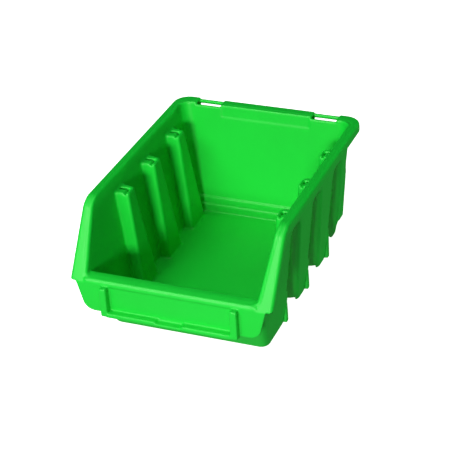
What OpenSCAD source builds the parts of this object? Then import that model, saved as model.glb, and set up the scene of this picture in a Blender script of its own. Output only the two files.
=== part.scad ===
// Stackable storage bin: one open-fronted plastic picking bin, cut into its named features.
// Frame: mm, +Z up, origin at the bottom centre of the bounding box, pick opening towards -Y.

/* [Overall] */
// Overall width across the rim
body_w = 116; // [80:1:200]
// Overall length, rear rim to the front of the label frame
body_l = 160.4; // [120:0.2:300]
// Overall height, floor underside to rim top
body_h = 75; // [50:1:150]
// Wall thickness
wall = 1.8; // [1.2:0.1:3]
// Floor thickness
floor_t = 2; // [1.2:0.1:4]
// Height of the floor's underside above the bottom edge of the walls
floor_z = 3; // [0:0.5:8]

/* [Tub] */
// Inside half width of the tub at rim height
tub_half = 52.4; // [30:0.1:90]
// Sideways draft of the side walls, per mm of height
side_draft = 0.115; // [0:0.005:0.2]
// Rearward draft of the rear wall, per mm of height
rear_draft = 0.07; // [0:0.005:0.2]
// Setback of the front wall's foot behind the label plate
front_foot = 21.7; // [10:0.1:40]
// Forward lean of the front wall, per mm of height
front_lean = 0.519; // [0:0.01:1]
// Inside radius of the rear vertical corners
rear_r = 6; // [2:0.5:12]
// Inside radius of the front vertical corners
front_r = 2.8; // [1:0.1:8]

/* [Rim] */
// Distance from the tub's rear inner face to the rear rim line
rear_ledge = 8.3; // [4:0.1:15]
// Depth of the turned-down rim skirt
skirt_h = 5.75; // [3:0.25:12]
// Depth of the skirt on the slanted cheek edges
slant_skirt = 3.4; // [1:0.1:8]
// Plan radius of the rear rim corners
rim_r = 9.5; // [3:0.5:20]
// Forward run of the slanted edge, per mm of height
slant_run = 0.69; // [0.3:0.01:1.5]
// Setback of the point where the slanted edge meets the level rim, behind the label plate
slant_top = 25.5; // [10:0.5:60]
// Bend radius between level and slanted rim
bend_r = 5; // [3:0.5:20]
// Height at which the slanted rim ends
slant_end = 38; // [20:0.5:60]

/* [Hanging slots] */
// Half width of the centre tab of the rear rim
tab_half = 28; // [10:0.5:45]
// Half distance between the outer ends of the two slots
slot_half = 44; // [20:0.5:50]
// Thickness of the hanging bars
bar_t = 1.9; // [1:0.1:4]
// Drop of the hanging bars below the rim top
bar_drop = 1.3; // [0:0.1:5]
// Height of the hanging bars
bar_h = 2.4; // [1:0.1:4]

/* [Front] */
// Height of the front lip
lip_h = 41; // [20:0.5:60]
// Height where the lip rises from the sloping front wall
lip_foot = 30; // [15:0.5:50]
// Outer radius of the lip roll
lip_r = 2.5; // [1:0.1:5]
// Height of the label plate's lower edge
plate_z = 20.6; // [5:0.2:35]
// Height where the label plate hangs from the lip
plate_top = 38; // [20:0.5:50]
// Half width of the label plate, extended down to the base plane
plate_half = 44.6; // [20:0.1:60]
// Outward flare of the label plate's ends, per mm of height
plate_flare = 0.26; // [0:0.01:0.6]
// Radius of the label plate's lower corners
plate_r = 5; // [1:0.5:10]
// Projection of the label frame
frame_d = 3.6; // [1:0.1:8]
// Half width of the label frame, outside
frame_half = 39.5; // [20:0.5:50]
// Width of each label post
post_w = 4.2; // [2:0.1:8]
// Height of the tops of the label posts
post_top = 37.8; // [25:0.1:50]
// Height of the label ledge
ledge_h = 2.2; // [1:0.1:8]
// Half width of the thumb notch
notch_half = 7.5; // [3:0.5:15]
// Depth of the thumb notch
notch_d = 1.1; // [0.5:0.1:3]

/* [Stacking ribs] */
// Front face of the first rib, behind the label plate
rib_first = 49; // [30:0.5:80]
// Rib pitch
rib_pitch = 35.1; // [20:0.1:60]
// Half distance between the ribs' inward faces at the base plane
rib_half = 37.7; // [20:0.1:50]
// Outward lean of the ribs' inward faces, per mm of height
rib_lean = 0.08; // [0:0.01:0.3]
// Rib length along the wall at the floor
rib_len = 19.6; // [8:0.1:30]
// Taper of the rib's rear face, per mm of height
rib_taper = 0.18; // [0:0.01:0.4]
// Splay of the rib's rear face in plan, degrees
rib_splay = 15; // [0:1:45]
// Height of the rib tops
rib_top = 66.5; // [40:0.5:74]
// Height of the hollow inside the ribs
channel_top = 56.5; // [30:0.5:70]
// Setback of the slot in the rib tops from the rib's front
slot_y = 4.9; // [2:0.1:8]
// Width of the slot
slot_w = 1.7; // [1:0.1:3]
// Length of the slot
slot_l = 6; // [3:0.5:8]
// Depth of the slot
slot_d = 4; // [1:0.5:10]
// Width of the notch from the slot to the rib's front
notch_w = 1.2; // [0.8:0.1:3]
// Depth of that notch
notch_z = 2.5; // [1:0.5:5]
// Stacking foot length
lug_l = 3.4; // [1:0.1:6]
// Stacking foot projection from the wall at the base plane
lug_w = 2; // [1:0.1:6]
// Stacking foot height
lug_h = 13; // [1:0.5:15]

/* [Rear step] */
// Height of the step at the foot of the rear wall
step_h = 14.4; // [3:0.1:25]
// Inset of the rear wall's foot
step_in = 0.9; // [0.5:0.1:1.5]
// Setback of the rear fins' edge at the base plane, behind the tub's rear inner face at rim height
fin_out = 2.1; // [0:0.1:6]
// Forward lean of the rear fins' edge, per mm of height
fin_lean = 0.11; // [0:0.01:0.3]
// Height of the top of the rear fins
fin_top = 60; // [30:1:70]

/* [Hidden] */
$fn = 48;
eps = 0.01;
big = 400;
arc_steps = 8;
y_p = -body_l / 2 + frame_d;
y_rim = body_l / 2;
y_back = y_rim - rear_ledge;
tilt = atan(1 / slant_run);
slant_len = sqrt(1 + slant_run * slant_run);
slant_ny = -1 / slant_len;
slant_nz = slant_run / slant_len;
bend_y = y_p + slant_top + bend_r * tan(tilt / 2);
bend_z = body_h - bend_r;
front_gap = wall * sqrt(1 + front_lean * front_lean);
floor_top = floor_z + floor_t;
lip_in = front_foot - front_lean * lip_foot + front_gap;
flange_z = body_h - wall;
skirt_z = body_h - skirt_h;
ra = front_r * (sqrt(1 + front_lean * front_lean));
green = [0.13, 0.75, 0.24];
deep_green = [0.08, 0.6, 0.17];

// inside face positions of the tub at height z
function xi(z) = tub_half - side_draft * (body_h - z);
function yr(z) = y_back - rear_draft * (body_h - z);
function yf(z) = y_p + front_foot - front_lean * z + front_gap;

// points of an arc about (cx, cy), from angle a0 to a1
function arc(cx, cy, r, a0, a1) =
    [for (i = [0:arc_steps]) let (a = a0 + (a1 - a0) * i / arc_steps) [cx + r * cos(a), cy + r * sin(a)]];

// a profile in (X, Z) swept along Y from a to b
module along_y(a, b) {
    translate([0, b, 0]) rotate([90, 0, 0]) linear_extrude(b - a) children();
}

// a profile in (Y, Z) swept along X from a to b
module along_x(a, b) {
    translate([a, 0, 0]) rotate([90, 0, 90]) linear_extrude(b - a) children();
}

// the drafted wedge of width |X| <= xi(z) + d
module width_slab(d, z0, z1) {
    along_y(-big, big)
        polygon([[-xi(z0) - d, z0], [xi(z0) + d, z0], [xi(z1) + d, z1], [-xi(z1) - d, z1]]);
}

// the wedge between the front and rear planes moved by df forwards and dr rearwards
module length_slab(df, dr, z0, z1) {
    along_x(-big, big)
        polygon([[yf(z0) - df, z0], [yr(z0) + dr, z0], [yr(z1) + dr, z1], [yf(z1) - df, z1]]);
}

// a round bar of radius r leaning by (gx, gy) per mm of height, through (x, y) at z = 0
module lean_bar(x, y, gx, gy, r) {
    lean = atan(sqrt(gx * gx + gy * gy));
    turn = atan2(gy, gx);
    translate([x, y, 0]) rotate([0, lean, turn]) translate([0, 0, -40])
        rotate([0, 0, -turn]) cylinder(r = r, h = 160);
}

// the tub's solid envelope, grown by d from the inside faces
module tub(d, shift = 0) {
    z0 = -1;
    z1 = body_h + 5;
    fd = d * front_gap / wall;
    intersection() {
        translate([-big / 2, -big / 2, z0 + eps]) cube([big, big, z1 - z0 - 2 * eps]);
        union() {
            intersection() {
                width_slab(d, z0, z1);
                length_slab(-ra, -rear_r - shift, z0, z1);
            }
            intersection() {
                width_slab(-rear_r, z0, z1);
                length_slab(-ra - 3, d - shift, z0, z1);
            }
            intersection() {
                width_slab(-front_r, z0, z1);
                length_slab(fd, -rear_r - shift - 3, z0, z1);
            }
            for (s = [-1, 1]) {
                lean_bar(s * (xi(0) - rear_r), yr(0) - rear_r - shift,
                    s * side_draft, rear_draft, rear_r + d);
                lean_bar(s * (xi(0) - front_r), yf(0) + ra,
                    s * side_draft, -front_lean, front_r + d);
            }
        }
    }
}

module tub_shell(shift = 0) {
    difference() {
        tub(wall, shift);
        tub(0, shift);
    }
}

// everything under the rim line, at depth d below the rim's top surface
module under_rim(d) {
    along_x(-big, big) polygon(concat(
        [[y_p - 20, -2], [y_p - 20, slant_z(y_p - 20, d)]],
        arc(bend_y, bend_z, bend_r - d, 90 + tilt, 90),
        [[y_rim + 20, body_h - d], [y_rim + 20, -2]]
    ));
}

// everything above the slanted line at depth d, near the lip
module above_slant(d) {
    along_x(-big, big) polygon([
        [y_p - 20, slant_z(y_p - 20, d)],
        [y_p + 20, slant_z(y_p + 20, d)],
        [y_p - 20, slant_z(y_p + 20, d)]
    ]);
}

function slant_z(y, d) = body_h + (y - y_p - slant_top) / slant_run - d / slant_nz;

// plan outline of the rim, drawn in by d
module rim_plan(d, r) {
    w = body_w / 2 - d;
    y = y_rim - d;
    translate([-w, -big]) square([2 * w, y - r + big]);
    translate([-w + r, -big]) square([2 * (w - r), y + big]);
    for (s = [-1, 1]) translate([s * (w - r), y - r]) circle(r = r);
}

// plan outline of the tub's mouth
module mouth_plan() {
    w = tub_half;
    translate([-w, -big]) square([2 * w, y_back - rear_r + big]);
    translate([-w + rear_r, -big]) square([2 * (w - rear_r), y_back + big]);
    for (s = [-1, 1]) translate([s * (w - rear_r), y_back - rear_r]) circle(r = rear_r);
}

// level rim: flange and skirt
module rim_ring() {
    translate([0, 0, flange_z]) linear_extrude(wall) difference() {
        rim_plan(0, rim_r);
        mouth_plan();
    }
    translate([0, 0, skirt_z]) linear_extrude(skirt_h - wall) difference() {
        rim_plan(0, rim_r);
        rim_plan(wall, rim_r - wall);
    }
}

module box_region(x0, x1, y0, y1) {
    translate([x0, y0, -5]) cube([x1 - x0, y1 - y0, body_h + 10]);
}

// hollow behind each right-hand rib, open outwards and downwards
module channel(i) {
    y0 = y_p + rib_first + rib_pitch * i;
    intersection() {
        along_y(y0 + wall, y0 + 60)
            polygon([[rib_half + wall - rib_lean, -1], [80, -1], [80, channel_top],
                [rib_half + wall + rib_lean * channel_top, channel_top]]);
        translate([rib_half, y0 + rib_len - wall / cos(rib_splay), 0]) rotate([0, 0, rib_splay])
            along_x(-60, 90)
                polygon([[rib_taper * 1.2, -1.2], [-big, -1.2], [-big, 90], [-rib_taper * 90, 90]]);
    }
}

// right-hand rib before hollowing
module rib_body(i) {
    y0 = y_p + rib_first + rib_pitch * i;
    intersection() {
        along_y(y0, y0 + 60)
            polygon([[rib_half + rib_lean * floor_top, floor_top], [xi(floor_top), floor_top],
                [xi(rib_top), rib_top], [rib_half + rib_lean * rib_top, rib_top]]);
        translate([rib_half, y0 + rib_len, 0]) rotate([0, 0, rib_splay])
            along_x(-60, 90) polygon([[0, 0], [-big, 0], [-big, 90], [-rib_taper * 90, 90]]);
        if (i == 2) tub(0, step_in);
        width_slab(0, -1, body_h);
    }
}

module rib(i) {
    y0 = y_p + rib_first + rib_pitch * i;
    xs = rib_half + rib_lean * rib_top + 1.6;
    color(green) difference() {
        rib_body(i);
        channel(i);
        translate([xs, y0 + slot_y, rib_top - slot_d]) cube([slot_l, slot_w, slot_d + 1]);
        translate([xs, y0 - 1, rib_top - notch_z]) cube([notch_w, slot_y + 1.5, notch_z + 1]);
    }
}

module lug(i) {
    y1 = y_p + rib_first + rib_pitch * i + wall;
    color(deep_green) along_y(y1 - lug_l, y1) polygon([
        [xi(0) + wall, 0],
        [xi(0) + wall + lug_w - 0.6, 0],
        [xi(0) + wall + lug_w, 0.8],
        [xi(0) + wall + lug_w, lug_h],
        [xi(lug_h) + wall, lug_h]
    ]);
}

module floor() {
    color(green) difference() {
        intersection() {
            tub(0, step_in);
            translate([-big / 2, -big / 2, floor_z]) cube([big, big, floor_t]);
        }
        for (i = [0:2]) {
            channel(i);
            mirror([1, 0, 0]) channel(i);
        }
    }
}

module side_wall() {
    color(green) difference() {
        intersection() {
            tub_shell();
            under_rim(wall);
            length_slab(-ra, -rear_r, -1, body_h);
            translate([0, -big / 2, 0]) cube([big, big, flange_z]);
            union() {
                translate([0, -big / 2, step_h]) cube([big, big, big]);
                length_slab(-ra, -rear_r - step_in, -1, body_h);
            }
        }
        for (i = [0:2]) channel(i);
    }
}

module rear_wall() {
    color(green) intersection() {
        tub_shell();
        width_slab(-rear_r, -1, body_h);
        translate([-big / 2, 0, step_h]) cube([big, big, flange_z - step_h]);
    }
}

// right-hand fin that carries the side wall's line past the round rear corner
module rear_fin() {
    edge = y_back + fin_out;
    intersection() {
        difference() {
            width_slab(wall - 0.3, -1, body_h);
            width_slab(0, -2, body_h + 1);
        }
        along_x(0, big) polygon([
            [yr(step_h) - rear_r + 1, step_h],
            [edge - fin_lean * step_h, step_h],
            [edge - fin_lean * fin_top, fin_top],
            [yr(fin_top) - rear_r + 1, fin_top]
        ]);
    }
}

module rear_corner() {
    color(green) union() {
        intersection() {
            tub_shell();
            difference() {
                translate([0, 0, step_h]) cube([big, big, flange_z - step_h]);
                width_slab(-rear_r, -1, body_h + 5);
                length_slab(0, -rear_r, -1, body_h + 5);
            }
        }
        rear_fin();
    }
}

module rear_step() {
    color(green) {
        difference() {
            intersection() {
                tub_shell(step_in);
                translate([-big / 2, 0, 0]) cube([big, big, step_h]);
            }
            length_slab(0, -rear_r - step_in, -1, body_h + 5);
            channel(2);
            mirror([1, 0, 0]) channel(2);
        }
        intersection() {
            difference() {
                tub(wall);
                tub(0, step_in);
            }
            translate([-big / 2, yr(step_h) - rear_r - step_in, step_h - wall])
                cube([big, big, wall]);
            difference() {
                translate([-big / 2, 0, 0]) cube([big, big, step_h]);
                length_slab(0, -rear_r - step_in, -1, body_h + 5);
                tub_shell(step_in);
            }
        }
    }
}

module front_wall() {
    color(green) intersection() {
        tub_shell();
        width_slab(-front_r, -1, body_h);
        translate([-big / 2, -big, 0]) cube([big, big, lip_foot]);
        difference() {
            length_slab(20, 0, -1, body_h);
            length_slab(-ra, 0, -1, body_h);
        }
    }
}

module front_corner() {
    color(green) difference() {
        intersection() {
            tub_shell();
            under_rim(wall);
            translate([0, -big, 0]) cube([big, big, flange_z]);
            length_slab(20, 0, -1, body_h);
        }
        length_slab(-ra, 0, -1, body_h + 5);
        width_slab(-front_r, -1, body_h + 5);
        translate([0, y_p - 20, lip_foot]) cube([big, 20 + lip_in, big]);
    }
}

// cross-section of the front lip, swept across the bin
module lip_bar() {
    along_x(-70, 70) polygon(concat(
        [[y_p, plate_top]],
        arc(y_p + lip_r, lip_h - lip_r, lip_r, 180, 90),
        arc(y_p + lip_in - 2, lip_h - 2, 2, 90, 0),
        [
            [y_p + lip_in, lip_foot],
            [y_p + lip_in - front_gap, lip_foot],
            [y_p + front_foot - front_lean * plate_top, plate_top]
        ]
    ));
}

// front lip: full height between the tub's inside faces, under the slanted rims beyond them
module front_lip() {
    color(green) difference() {
        intersection() {
            lip_bar();
            width_slab(wall, -1, body_h);
        }
        difference() {
            above_slant(wall);
            width_slab(0, -1, body_h + 5);
        }
    }
}

// label plate outline in (X, Z)
module plate_face() {
    cz = plate_z + plate_r;
    ln = sqrt(1 + plate_flare * plate_flare);
    cx = plate_half + plate_flare * cz - plate_r * ln;
    tx = cx + plate_r / ln;
    tz = cz - plate_r * plate_flare / ln;
    wt = plate_half + plate_flare * plate_top;
    polygon([[-cx, plate_z], [cx, plate_z], [cx, cz], [tx, tz], [wt, plate_top],
        [-wt, plate_top], [-tx, tz], [-cx, cz]]);
    for (s = [-1, 1]) translate([s * cx, cz]) circle(r = plate_r);
}

module label_plate() {
    color(green) intersection() {
        along_y(y_p, y_p + wall) plate_face();
        box_region(-frame_half, frame_half, -big, big);
    }
}

module label_wing() {
    color(green) intersection() {
        along_y(y_p, y_p + wall) plate_face();
        box_region(frame_half, 80, -big, big);
    }
}

module label_post() {
    color(green) along_y(y_p - frame_d, y_p) {
        translate([frame_half - post_w, plate_z]) square([post_w, post_top - plate_z - 1]);
        translate([frame_half - post_w + 1, plate_z]) square([post_w - 1, post_top - plate_z]);
        translate([frame_half - post_w + 1, post_top - 1]) circle(r = 1);
    }
}

module label_ledge() {
    w = frame_half - post_w;
    color(green) along_y(y_p - frame_d, y_p) difference() {
        translate([-w, plate_z]) square([2 * w, ledge_h]);
        translate([-notch_half, plate_z + ledge_h - notch_d]) square([2 * notch_half, 5]);
    }
}

module side_rim() {
    color(green) intersection() {
        rim_ring();
        box_region(0, 80, bend_y, y_back - rim_r);
    }
}

module slant_rim() {
    color(green) intersection() {
        difference() {
            union() {
                difference() {
                    under_rim(0);
                    under_rim(wall);
                }
                intersection() {
                    difference() {
                        under_rim(0);
                        under_rim(slant_skirt);
                    }
                    box_region(body_w / 2 - wall, 80, -big, big);
                }
            }
            width_slab(0, -1, body_h + 5);
        }
        translate([0, y_p - 5, slant_end]) cube([body_w / 2, bend_y - y_p + 5, 60]);
    }
}

module rear_rim_corner() {
    color(green) intersection() {
        rim_ring();
        difference() {
            box_region(slot_half, 80, y_back - rim_r, 200);
            box_region(0, slot_half, -200, 200);
        }
    }
}

module rear_rim_tab() {
    color(green) intersection() {
        rim_ring();
        box_region(-tab_half, tab_half, 0, 200);
    }
}

module hang_bar() {
    color(green) translate([tab_half, y_rim - bar_t, body_h - bar_drop - bar_h])
        cube([slot_half - tab_half, bar_t, bar_h]);
}

floor();
mirror([1, 0, 0]) side_wall();  // side_wall_left
side_wall();  // side_wall_right
rear_wall();
rear_step();
mirror([1, 0, 0]) rear_corner();  // rear_corner_left
rear_corner();  // rear_corner_right
front_wall();
mirror([1, 0, 0]) front_corner();  // front_corner_left
front_corner();  // front_corner_right
front_lip();
label_plate();
mirror([1, 0, 0]) label_wing();  // label_wing_left
label_wing();  // label_wing_right
mirror([1, 0, 0]) label_post();  // label_post_left
label_post();  // label_post_right
label_ledge();
mirror([1, 0, 0]) side_rim();  // side_rim_left
side_rim();  // side_rim_right
mirror([1, 0, 0]) slant_rim();  // slant_rim_left
slant_rim();  // slant_rim_right
mirror([1, 0, 0]) rear_rim_corner();  // rear_rim_corner_left
rear_rim_corner();  // rear_rim_corner_right
rear_rim_tab();
mirror([1, 0, 0]) hang_bar();  // hang_bar_left
hang_bar();  // hang_bar_right
mirror([1, 0, 0]) rib(0);  // rib_left_1
mirror([1, 0, 0]) rib(1);  // rib_left_2
mirror([1, 0, 0]) rib(2);  // rib_left_3
rib(0);  // rib_right_1
rib(1);  // rib_right_2
rib(2);  // rib_right_3
mirror([1, 0, 0]) lug(0);  // lug_left_1
mirror([1, 0, 0]) lug(1);  // lug_left_2
mirror([1, 0, 0]) lug(2);  // lug_left_3
lug(0);  // lug_right_1
lug(1);  // lug_right_2
lug(2);  // lug_right_3
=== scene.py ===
"""Stackable storage bin: one seamless moulding meshed from a distance field.

The field is worked out in millimetres, in the frame of the CAD part, on the +X half, and mirrored.
It is a distance: below 0 inside the plastic, above 0 outside it.
"""

import math

import bpy
import numpy as np
from mathutils import Matrix, Vector


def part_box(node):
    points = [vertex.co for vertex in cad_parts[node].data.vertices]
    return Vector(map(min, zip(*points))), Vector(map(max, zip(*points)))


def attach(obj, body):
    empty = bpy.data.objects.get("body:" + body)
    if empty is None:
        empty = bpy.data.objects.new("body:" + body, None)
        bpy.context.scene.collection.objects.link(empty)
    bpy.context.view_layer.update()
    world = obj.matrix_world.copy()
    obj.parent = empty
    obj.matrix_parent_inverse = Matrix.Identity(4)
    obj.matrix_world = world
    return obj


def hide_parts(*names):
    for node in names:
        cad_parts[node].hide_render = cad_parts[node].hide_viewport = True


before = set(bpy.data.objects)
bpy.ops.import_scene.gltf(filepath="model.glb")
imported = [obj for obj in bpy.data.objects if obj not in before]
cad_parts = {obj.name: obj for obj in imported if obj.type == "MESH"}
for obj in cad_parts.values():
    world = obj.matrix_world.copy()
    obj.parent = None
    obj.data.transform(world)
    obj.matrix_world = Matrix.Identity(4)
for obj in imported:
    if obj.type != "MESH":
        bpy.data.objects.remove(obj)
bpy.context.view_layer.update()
MM = 0.001

# ---------------------------------------------------------------- sizes, mm


def low(node):
    return [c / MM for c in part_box(node)[0]]


def high(node):
    return [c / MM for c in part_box(node)[1]]


# overall, from the CAD part
TOP = high("side_rim_right")[2]
HALF_W = high("side_rim_right")[0]
REAR = high("rear_rim_tab")[1]
PLATE = low("label_plate")[1]  # front plane of the label plate
FRAME_D = PLATE - low("label_post_right")[1]  # how far the label frame stands out
FLOOR_LOW, FLOOR_TOP = low("floor")[2], high("floor")[2]

STEP = 0.45  # grid step of the field
MARGIN, MARGIN_LOW = 2.5, 2.0  # empty grid past the part, and before it
WALL = 1.8
CLEAR = 9.0  # how far a cutter reaches past the face that it opens
ABOVE = 90.0  # a height clear above the rim
EMBED = 0.5 * WALL  # how deep a feature starts inside the wall it grows from
EDGE_R = 0.4  # radius of an edge that has none of its own

# tub
TUB_HALF = 52.4  # inside half width at rim height
SIDE_DRAFT = 0.115
REAR_IN = REAR - 8.3  # inside face of the rear wall at rim height
REAR_DRAFT = 0.07
REAR_R, FRONT_R = 6.0, 2.8  # inside radii of the upright corners
FOOT = PLATE + 21.7  # foot of the sloping front wall, outside
LEAN = 0.519
FLOOR_R = 0.8  # inside radius between floor and walls
UNDER_R = 0.5  # radius round the recess under the floor
BASE_R = 0.7  # radius of the bottom edge
BANDS = [(14.4, 1.0), (9.8, 0.6)]  # top and depth of each set-in band at the rear wall's foot
BAND_R = 0.4

# rim
RIM_R = 9.5  # plan radius of the rear corners
RIM_EDGE_R = 1.7
SLANT_RUN = 0.69  # forward run of the slanted rim, per mm of height
SLANT_TOP = PLATE + 25.5
BEND_R = 5.0
BEND_REAR, BEND_LEN = 6.0, 14.0  # where the level rim starts to change, and over what length
SLANT_END = 38.0
SKIRT, SLANT_SKIRT = 5.75, 3.6  # depth of the turned-down edge, level and slanted
SKIRT_R, SLANT_END_R = 0.5, 0.6
RIM_IN_R, SLANT_IN_R = 0.8, 1.4  # inner edge radius of the level rim, and what the slant adds

# hanging slots, and the shallow recess between them
SLOT_X = (28.3, 43.8)
WINDOW_LOW = 60.0
DIP = 1.5  # how far the rear wall's top is cut down at a slot
DIP_Y = (REAR_IN - 6.0, REAR_IN + WALL + 1.0)
BAR_X = (27.0, 45.0)
BAR_Z = (TOP - 3.6, TOP - 1.3)
BAR_T = 1.9
BAR_R = 0.5
RECESS_HALF, RECESS_LOW, RECESS_D = 27.5, 67.8, 0.35
RECESS_R = 0.3

# fins that square up the rear corners
FIN_OUT, FIN_LEAN = 2.1, 0.11
FIN_LOW = 12.0
FIN_LEN = 12.0
FIN_R = 0.8
FIN_SINK = 0.1

# ribs: their hollows, slots and lugs
RIBS = [low(f"rib_right_{i}")[1] for i in (1, 2, 3)]
RIB_HALF = 37.7  # half width between the ribs at Z = 0
RIB_OUT = 0.08  # outward lean of the inner face
RIB_LEN = 19.6
RIB_TAPER = 0.18
RIB_SPLAY = math.tan(math.radians(15))
RIB_TOP = 66.5
RIB_R, RIB_TOP_R = 1.6, 1.0
RIB_REAR_R = 0.4  # what the rear edge adds to the radius of the others
RIB_FOOT_R = 1.2
CHANNEL_TOP = 56.5
CHANNEL_R, CHANNEL_EDGE_R = 1.0, 0.6  # of the hollow's upright corners, and of its edges
MOUTH_R = 3.4  # radius of the hollow's mouth half way down
MOUTH_R_TOP, MOUTH_R_FOOT = 1.0, 3.0  # what the top and the foot add to it
MOUTH_FOOT = 5.0  # height over which the foot adds it
MOUTH_OUT = 0.3  # how far its cutter reaches outside the wall
SLOT_IN = 1.6  # from the rib's inner edge to its slot
SLOT_L, SLOT_D = 6.0, 4.0
SLOT_Y = (4.9, 6.6)
NOTCH_W, NOTCH_D = 1.2, 1.3
NOTCH_Y = (-2.0, 5.5)
SLOT_R = 0.3
LUG_X, LUG_Z = (43.0, 47.6), (0.2, 20.0)
LUG_L = 1.6
LUG_R, LUG_FILLET = 0.7, 0.6

# front lip
LIP_TOP = 41.0
LIP_IN = PLATE + 8.9
LIP_UNDER = 37.4
LIP_FOOT = 26.0
LIP_R, LIP_BACK_R, LIP_UNDER_R = 2.5, 1.8, 0.4
LIP_FOOT_R = 1.0

# label plate and frame
PLATE_Z, PLATE_TOP = 20.8, 38.5
PLATE_HALF, FLARE = 44.6, 0.26  # half width at Z = 0, and what it gains per mm of height
PLATE_R, PLATE_EDGE_R, PLATE_FOOT_R = 5.0, 0.5, 0.2
FIELD_HALF, FIELD_LOW, FIELD_D = 35.3, 21.0, 0.6
FIELD_R = 0.3
FRAME_SINK = 0.8  # how deep the frame's solids start inside the plate
FRAME_FILLET, FRAME_FOOT_R = 0.8, 0.3  # between post and ledge, and round the frame's foot
POST_OUT = 39.5
POST_Z, POST_R = (20.3, 37.8), 0.8
LEDGE_HALF, LEDGE_Z, LEDGE_R = 36.0, (20.0, 22.8), 0.7
THUMB_HALF, THUMB_Z = 7.5, (21.7, 40.0)  # dip in the middle of the ledge
THUMB_D = 0.5
THUMB_R, THUMB_EDGE_R = 1.0, 0.3


# ---------------------------------------------------------------- field tools


def cut(a, b, r=0.0):
    """Intersection of two solids, its edge rounded by r, a number or a field of radii."""
    if isinstance(r, float) and r <= 0:
        return np.maximum(a, b)
    m = np.maximum(a, b)
    return np.where(
        m <= -r, m, np.hypot(np.maximum(a + r, 0), np.maximum(b + r, 0)) + np.minimum(m + r, 0) - r
    ).astype(np.float32)


def join(a, b, r=0.0):
    """Union of two solids, with a fillet of radius r."""
    return -cut(-a, -b, r) if r > 0 else np.minimum(a, b)


def less(a, b, r=0.0):
    """Solid a with solid b taken away, the new edge rounded by r."""
    return cut(a, -b, r)


def axis(lo, hi):
    return np.arange(lo, hi, STEP, dtype=np.float32)


XS = axis(0.0, HALF_W + MARGIN)
YS = axis(low("label_ledge")[1] - MARGIN_LOW, REAR + MARGIN)
ZS = axis(-MARGIN_LOW, TOP + MARGIN)
X = XS[:, None, None]
Y = YS[None, :, None]
Z = ZS[None, None, :]


def slab(v, lo, hi):
    """Distance outside the interval lo..hi of coordinate v."""
    return np.abs(v - (lo + hi) / 2) - (hi - lo) / 2


def block(x, y, z, r=EDGE_R):
    return cut(cut(slab(X, *x), slab(Y, *y), r), slab(Z, *z), r)


# ---------------------------------------------------------------- the shape


def walls():
    """Distance outside the drafted inside faces: the side's, the rear's and that of the whole tub."""
    side = (X - (TUB_HALF - SIDE_DRAFT * (TOP - Z))) / math.hypot(1, SIDE_DRAFT)
    rear_y = REAR_IN - REAR_DRAFT * (TOP - Z)
    rear = (Y - rear_y) / math.hypot(1, REAR_DRAFT)
    for band_top, depth in BANDS:
        rear = cut(rear, join(rear + depth, band_top - Z, BAND_R), BAND_R)
    gap = WALL * math.hypot(1, LEAN)
    front = (FOOT + gap - LEAN * Z - Y) / math.hypot(1, LEAN)
    return side, rear, cut(cut(side, rear, REAR_R), front, FRONT_R)


def rim_line():
    """Distance above the rim's top line: level, bent, then slanting down to the front."""
    n = math.hypot(1, SLANT_RUN)
    slope = (-(Y - SLANT_TOP) + SLANT_RUN * (Z - TOP)) / n
    return cut(Z - TOP, slope, BEND_R)


def rib(y0, inset=0.0, top=RIB_TOP, r=RIB_R):
    """A stacking rib, or its hollow when inset by the wall thickness."""
    front = y0 + inset - Y
    inward = (RIB_HALF + inset + RIB_OUT * Z - X) / math.hypot(1, RIB_OUT)
    rear_n = math.hypot(math.hypot(1, RIB_SPLAY), RIB_TAPER)
    rear = (Y - (y0 + RIB_LEN + RIB_SPLAY * (X - RIB_HALF) - RIB_TAPER * Z)) / rear_n + inset
    body = cut(cut(front, inward, r), rear, r + RIB_REAR_R)
    return cut(body, Z - top, RIB_TOP_R)


def rear_fin(side):
    """The side wall's line carried past the round rear corner, above the base."""
    edge = (Y - (REAR_IN + FIN_OUT - FIN_LEAN * Z)) / math.hypot(1, FIN_LEAN)
    fin = cut(cut(side - WALL + FIN_SINK, edge, FIN_R), FIN_LOW - Z, FIN_R)
    return np.maximum(np.maximum(fin, -side), REAR_IN - FIN_LEN - Y)


def rim_shell(top, slant, dip):
    """The turned-down rim, with its two hanging slots and their bars."""
    outline = cut(X - HALF_W, Y - REAR, RIM_R)
    rim = cut(outline, top, RIM_EDGE_R)
    rim = np.maximum(rim, -(rim + WALL))
    depth = SKIRT + (SLANT_SKIRT - SKIRT) * slant
    rim = cut(rim, -(top + depth), SKIRT_R)
    rim = cut(rim, SLANT_END - Z, SLANT_END_R)
    window = block(SLOT_X, (REAR_IN + WALL, REAR + CLEAR), (WINDOW_LOW, ABOVE))
    rim = less(less(rim, window, EDGE_R), dip)
    return join(rim, block(BAR_X, (REAR - BAR_T, REAR), BAR_Z, BAR_R))


def front_lip(side, inside):
    """The rolled lip as seen from outside, and the same with its filled foot inside the tub."""
    head = cut(cut(PLATE - Y, Z - LIP_TOP, LIP_R), Y - LIP_IN, LIP_BACK_R)
    head = cut(head, LIP_UNDER - Z, LIP_UNDER_R)
    head = np.maximum(head, side - EMBED)
    wedge = np.maximum(cut(Z - LIP_TOP, Y - LIP_IN, LIP_BACK_R), LIP_FOOT - Z)
    wedge = np.maximum(wedge, inside - WALL)
    return head, join(head, wedge)


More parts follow.
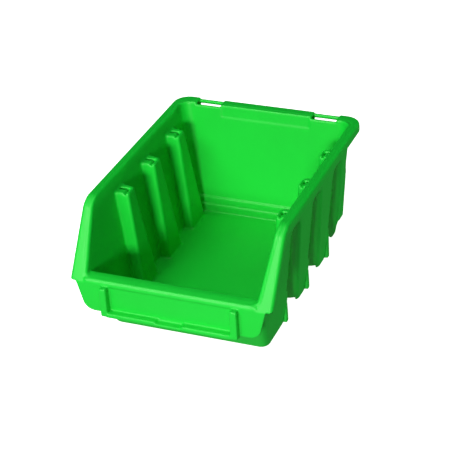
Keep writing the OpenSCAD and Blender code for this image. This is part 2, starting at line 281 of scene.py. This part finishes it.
def open_rib(solid, y0, side, inside):
    """The rib's hollow open to the outside, the slot in its top, and the lug at its foot."""
    channel = rib(y0, WALL, CHANNEL_TOP, CHANNEL_R)
    high_up, low_down = np.clip(Z / CHANNEL_TOP, 0, 1), np.clip(1 - Z / MOUTH_FOOT, 0, 1)
    mouth_r = (MOUTH_R + MOUTH_R_TOP * high_up + MOUTH_R_FOOT * low_down).astype(np.float32)
    mouth = np.maximum(-less(inside - WALL, channel, mouth_r), inside - WALL - MOUTH_OUT)
    solid = less(less(solid, channel, CHANNEL_EDGE_R), mouth)
    x0 = RIB_HALF + RIB_OUT * RIB_TOP + SLOT_IN
    slot = block((x0, x0 + SLOT_L), [y0 + y for y in SLOT_Y], (RIB_TOP - SLOT_D, ABOVE), SLOT_R)
    notch = block((x0, x0 + NOTCH_W), [y0 + y for y in NOTCH_Y], (RIB_TOP - NOTCH_D, ABOVE), SLOT_R)
    solid = less(solid, join(slot, notch), SLOT_R)
    lug = block(LUG_X, (y0 - LUG_L, y0 + WALL), LUG_Z, LUG_R)
    return join(solid, np.maximum(lug, -(side - EMBED)), LUG_FILLET)


def label_front():
    """The flared label plate, its shallow field, and the frame of two posts and a ledge."""
    flare = (X - (PLATE_HALF + FLARE * Z)) / math.hypot(1, FLARE)
    plate = cut(cut(flare, PLATE_Z - Z, PLATE_R), Z - PLATE_TOP)
    plate = cut(plate, slab(Y, PLATE, PLATE + WALL), PLATE_EDGE_R)
    field_y = (PLATE - CLEAR, PLATE + FIELD_D)
    plate = less(plate, block((-FIELD_HALF, FIELD_HALF), field_y, (FIELD_LOW, LIP_UNDER), FIELD_R))
    frame_y = (PLATE - FRAME_D, PLATE + FRAME_SINK)
    post = block((FIELD_HALF, POST_OUT), frame_y, POST_Z, POST_R)
    ledge = block((-LEDGE_HALF, LEDGE_HALF), frame_y, LEDGE_Z, LEDGE_R)
    thumb = block((-THUMB_HALF, THUMB_HALF), (PLATE - CLEAR, PLATE + THUMB_D), THUMB_Z, THUMB_R)
    label_frame = join(less(ledge, thumb, THUMB_EDGE_R), post, FRAME_FILLET)
    return join(plate, label_frame, FRAME_FOOT_R)


def field():
    """The whole moulding."""
    side, rear, inside = walls()
    top = rim_line()
    slant = np.clip((SLANT_TOP + BEND_REAR - Y) / BEND_LEN, 0, 1)  # 0 level, 1 slanted
    dip = block(SLOT_X, DIP_Y, (TOP - DIP, ABOVE))

    rim = rim_shell(top, slant, dip)
    shell = join(inside - WALL, rear_fin(side))
    body = join(np.maximum(cut(shell, -Z, BASE_R), less(top, dip)), rim)
    lip_head, lip = front_lip(side, inside)
    body = join(body, lip_head)

    hollow = cut(inside, FLOOR_TOP - Z, FLOOR_R)
    hollow = less(hollow, lip, LIP_FOOT_R)
    for y0 in RIBS:
        hollow = less(hollow, rib(y0), RIB_FOOT_R)
    solid = less(body, hollow, (RIM_IN_R + SLANT_IN_R * slant).astype(np.float32))
    solid = less(solid, cut(inside, Z - FLOOR_LOW, UNDER_R), UNDER_R)
    recess = np.maximum(np.maximum(X - RECESS_HALF, RECESS_LOW - Z), rear - RECESS_D)
    solid = less(solid, recess, RECESS_R)
    for y0 in RIBS:
        solid = open_rib(solid, y0, side, inside)
    return join(solid, label_front(), PLATE_FOOT_R)


# ---------------------------------------------------------------- meshing


def soften(f):
    """One light smoothing pass along each axis, so that no edge is sharper than the grid."""
    for ax in range(3):
        f = np.moveaxis(f, ax, 0)
        g = f.copy()
        g[1:-1] = 0.25 * f[:-2] + 0.5 * f[1:-1] + 0.25 * f[2:]
        f = np.moveaxis(g, 0, ax)
    return f


def surface_net(f, origin):
    """Closed quad mesh of the level f = 0: one vertex per crossed cell, one quad per crossed edge."""
    inside = f < 0
    n = np.array(f.shape) - 1
    count = sum(
        inside[dx : dx + n[0], dy : dy + n[1], dz : dz + n[2]].astype(np.int8)
        for dx in (0, 1)
        for dy in (0, 1)
        for dz in (0, 1)
    )
    cells = np.argwhere((count > 0) & (count < 8))
    number = np.full(n, -1, np.int32)
    number[tuple(cells.T)] = np.arange(len(cells))
    total = np.zeros((len(cells), 3))
    hits = np.zeros(len(cells))
    for ax in range(3):
        step = np.eye(3, dtype=int)[ax]
        others = [a for a in range(3) if a != ax]
        for i in (0, 1):
            for j in (0, 1):
                a = np.zeros(3, int)
                a[others[0]], a[others[1]] = i, j
                p = cells + a
                q = p + step
                fp, fq = f[tuple(p.T)], f[tuple(q.T)]
                crossed = (fp < 0) != (fq < 0)
                t = fp[crossed] / (fp[crossed] - fq[crossed])
                total[crossed] += p[crossed] + t[:, None] * step
                hits[crossed] += 1
    verts = origin + STEP * total / hits[:, None]
    quads = []
    for ax in range(3):
        step = np.eye(3, dtype=int)[ax]
        b, c = (ax + 1) % 3, (ax + 2) % 3
        first = [slice(None)] * 3
        second = [slice(None)] * 3
        first[ax], second[ax] = slice(None, -1), slice(1, None)
        crossed = np.argwhere(inside[tuple(first)] != inside[tuple(second)])
        crossed = crossed[(crossed[:, b] > 0) & (crossed[:, c] > 0)]
        crossed = crossed[(crossed[:, b] < n[b]) & (crossed[:, c] < n[c])]
        eb, ec = np.eye(3, dtype=int)[b], np.eye(3, dtype=int)[c]
        ring = [crossed - eb - ec, crossed - ec, crossed, crossed - eb]
        quad = np.stack([number[tuple(r.T)] for r in ring], 1)
        flip = ~inside[tuple(crossed.T)]
        quad[flip] = quad[flip][:, ::-1]
        quads.append(quad)
    return verts, np.concatenate(quads)


def mesh_object(name, verts, quads, material):
    mesh = bpy.data.meshes.new(name)
    mesh.vertices.add(len(verts))
    mesh.vertices.foreach_set("co", (verts * MM).astype(np.float32).ravel())
    mesh.loops.add(quads.size)
    mesh.loops.foreach_set("vertex_index", quads.astype(np.int32).ravel())
    mesh.polygons.add(len(quads))
    mesh.polygons.foreach_set("loop_start", np.arange(0, quads.size, 4, dtype=np.int32))
    mesh.polygons.foreach_set("use_smooth", np.ones(len(quads), bool))
    mesh.update(calc_edges=True)
    mesh.materials.append(material)
    obj = bpy.data.objects.new(name, mesh)
    bpy.context.collection.objects.link(obj)
    return obj


# ---------------------------------------------------------------- materials

DEEP_GREEN, LIGHT_GREEN = (0.006, 0.56, 0.032, 1), (0.007, 0.60, 0.036, 1)
FLOOR_DARK, FLOOR_LIGHT = (0.93, 0.93, 0.93, 1), (0.96, 0.96, 0.96, 1)
WHITE = (1, 1, 1, 1)
FLOW_SPAN = (0.3, 0.7)  # noise level at which the flow marks are deep green, and light
ROUGHNESS = (0.36, 0.48)  # least and most, over the grain
GRAIN_HEIGHT = 0.00004


def node(tree, kind, **inputs):
    n = tree.nodes.new(kind)
    for key, value in inputs.items():
        n.inputs[key.replace("_", " ")].default_value = value
    return n


def green_plastic():
    """Self-coloured polypropylene: faint flow marks, a fine moulded grain and uneven gloss."""
    mat = bpy.data.materials.new("green_polypropylene")
    mat.use_nodes = True
    tree = mat.node_tree
    bsdf = tree.nodes["Principled BSDF"]
    link = tree.links.new
    where = tree.nodes.new("ShaderNodeTexCoord")

    flow = node(tree, "ShaderNodeTexNoise", Scale=22.0, Detail=3.0, Roughness=0.5)
    link(where.outputs["Object"], flow.inputs["Vector"])
    ramp = tree.nodes.new("ShaderNodeValToRGB")
    ramp.color_ramp.elements[0].position = FLOW_SPAN[0]
    ramp.color_ramp.elements[0].color = DEEP_GREEN
    ramp.color_ramp.elements[1].position = FLOW_SPAN[1]
    ramp.color_ramp.elements[1].color = LIGHT_GREEN
    link(flow.outputs["Fac"], ramp.inputs["Fac"])
    link(ramp.outputs["Color"], bsdf.inputs["Base Color"])

    grain = node(tree, "ShaderNodeTexNoise", Scale=1400.0, Detail=2.0, Roughness=0.6)
    link(where.outputs["Object"], grain.inputs["Vector"])
    gloss = tree.nodes.new("ShaderNodeMapRange")
    gloss.inputs["To Min"].default_value = ROUGHNESS[0]
    gloss.inputs["To Max"].default_value = ROUGHNESS[1]
    link(grain.outputs["Fac"], gloss.inputs["Value"])
    link(gloss.outputs["Result"], bsdf.inputs["Roughness"])

    bump = node(tree, "ShaderNodeBump", Strength=0.12, Distance=GRAIN_HEIGHT)
    link(grain.outputs["Fac"], bump.inputs["Height"])
    link(bump.outputs["Normal"], bsdf.inputs["Normal"])
    bsdf.inputs["IOR"].default_value = 1.49
    bsdf.inputs["Specular IOR Level"].default_value = 0.38
    return mat


def pale_floor():
    """Plain studio floor, bright enough to read as white."""
    mat = bpy.data.materials.new("pale_floor")
    mat.use_nodes = True
    tree = mat.node_tree
    bsdf = tree.nodes["Principled BSDF"]
    where = tree.nodes.new("ShaderNodeTexCoord")
    noise = node(tree, "ShaderNodeTexNoise", Scale=3.0, Detail=4.0)
    ramp = tree.nodes.new("ShaderNodeValToRGB")
    ramp.color_ramp.elements[0].color = FLOOR_DARK
    ramp.color_ramp.elements[1].color = FLOOR_LIGHT
    tree.links.new(where.outputs["Object"], noise.inputs["Vector"])
    tree.links.new(noise.outputs["Fac"], ramp.inputs["Fac"])
    tree.links.new(ramp.outputs["Color"], bsdf.inputs["Base Color"])
    bsdf.inputs["Roughness"].default_value = 0.9
    bsdf.inputs["Specular IOR Level"].default_value = 0.1
    bsdf.inputs["Emission Color"].default_value = WHITE
    bsdf.inputs["Emission Strength"].default_value = 1.0
    return mat


# ---------------------------------------------------------------- build

f = soften(field().astype(np.float32))
f = np.concatenate([f[:0:-1], f])  # the mirrored half, then the half worked out
origin = np.array([-XS[-1], YS[0], ZS[0]])
verts, quads = surface_net(f, origin)
bin_obj = mesh_object("bin_moulding", verts, quads, green_plastic())
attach(bin_obj, "root")
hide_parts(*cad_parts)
print("bin mesh", len(verts), "vertices", len(quads), "faces")

# a wide floor just below the bin; its light on the bin comes from the world, not from the floor
FLOOR_HALF, FLOOR_DROP = 6.0, 0.0003
corners = [(x * FLOOR_HALF, y * FLOOR_HALF, 0) for x, y in ((-1, -1), (1, -1), (1, 1), (-1, 1))]
floor_mesh = bpy.data.meshes.new("studio_floor")
floor_mesh.from_pydata(corners, [], [(0, 1, 2, 3)])
floor_mesh.materials.append(pale_floor())
floor = bpy.data.objects.new("studio_floor", floor_mesh)
floor.location.z = -FLOOR_DROP
floor.visible_diffuse = False
floor.visible_glossy = False
bpy.context.collection.objects.link(floor)

# ---------------------------------------------------------------- light

CENTRE = Vector((0, 0, 0.03))  # the lights face the middle of the bin
SKY, BOUNCE = 0.03, 0.38  # light from above, and off the pale ground below
BEHIND = 0.2  # share of it that comes from behind the bin
HORIZON, TURN = 0.05, 0.3  # half widths of the change from below to above, and from front to rear


def studio_world():
    """Soft light off the ground, strongest in front of the bin, and a little from the sky."""
    world = bpy.data.worlds.new("studio")
    world.use_nodes = True
    tree = world.node_tree
    link = tree.links.new
    background = tree.nodes["Background"]
    background.inputs["Color"].default_value = WHITE
    towards = tree.nodes.new("ShaderNodeTexCoord")
    split = tree.nodes.new("ShaderNodeSeparateXYZ")
    height = {"From_Min": -HORIZON, "From_Max": HORIZON, "To_Min": BOUNCE, "To_Max": SKY}
    level = node(tree, "ShaderNodeMapRange", **height)
    depth = {"From_Min": -TURN, "From_Max": TURN, "To_Min": 1.0, "To_Max": BEHIND}
    front = node(tree, "ShaderNodeMapRange", **depth)
    product = tree.nodes.new("ShaderNodeMath")
    product.operation = "MULTIPLY"
    link(towards.outputs["Generated"], split.inputs["Vector"])
    link(split.outputs["Z"], level.inputs["Value"])
    link(split.outputs["Y"], front.inputs["Value"])
    link(level.outputs["Result"], product.inputs[0])
    link(front.outputs["Result"], product.inputs[1])
    link(product.outputs["Value"], background.inputs["Strength"])
    return world


def from_side(azimuth, elevation, distance):
    """A place round the bin: azimuth 0 is in front, 90 on its right."""
    a, e = math.radians(azimuth), math.radians(elevation)
    flat = math.cos(e)
    return CENTRE + distance * Vector((math.sin(a) * flat, -math.cos(a) * flat, math.sin(e)))


def area_light(name, place, size, power, glossy=True):
    """A rectangular lamp that faces the bin; glossy says whether the plastic mirrors it."""
    data = bpy.data.lights.new(name, "AREA")
    data.shape = "RECTANGLE"
    data.size, data.size_y = size
    data.energy = power
    obj = bpy.data.objects.new(name, data)
    obj.visible_glossy = glossy
    turn = (CENTRE - place).to_track_quat("-Z", "Y").to_matrix().to_4x4()
    obj.matrix_world = Matrix.Translation(place) @ turn
    bpy.context.collection.objects.link(obj)
    return obj


bpy.context.scene.world = studio_world()
# azimuth and elevation in degrees, distance and size in metres, power in watts
area_light("key", from_side(7, 13, 1.6), (0.32, 0.26), 18)
area_light("high", from_side(-22, 42, 1.6), (0.6, 0.6), 13)
area_light("side", from_side(148, 1, 1.6), (0.4, 0.2), 19, glossy=False)
area_light("top", from_side(0, 86, 1.5), (0.9, 0.9), 5.5)
bpy.context.scene.view_settings.view_transform = "Standard"

# ---------------------------------------------------------------- camera

# the camera fitted to the bin's edges in the photograph
YAW, PITCH, ROLL = 0.41150, 0.53413, -0.06377
FOCAL = 3.53365  # focal length in picture widths
SENSOR = 36.0
CAM_PLACE = Vector((0.31569, (PLATE - 638.72) * MM, 0.49841))


def camera_axes():
    """The camera's right, up and back, from its yaw, pitch and roll."""
    flat = math.cos(PITCH)
    back = Vector((math.sin(YAW) * flat, -math.cos(YAW) * flat, math.sin(PITCH)))
    level = Vector((math.cos(YAW), math.sin(YAW), 0))
    upright = back.cross(level)
    c, s = math.cos(ROLL), math.sin(ROLL)
    return c * level + s * upright, c * upright - s * level, back


cam_data = bpy.data.cameras.new("camera")
cam_data.sensor_width = SENSOR
cam_data.lens = SENSOR * FOCAL
cam_data.clip_start = 0.01
cam = bpy.data.objects.new("camera", cam_data)
cam.matrix_world = Matrix.Translation(CAM_PLACE) @ Matrix(camera_axes()).transposed().to_4x4()
bpy.context.collection.objects.link(cam)
bpy.context.scene.camera = cam
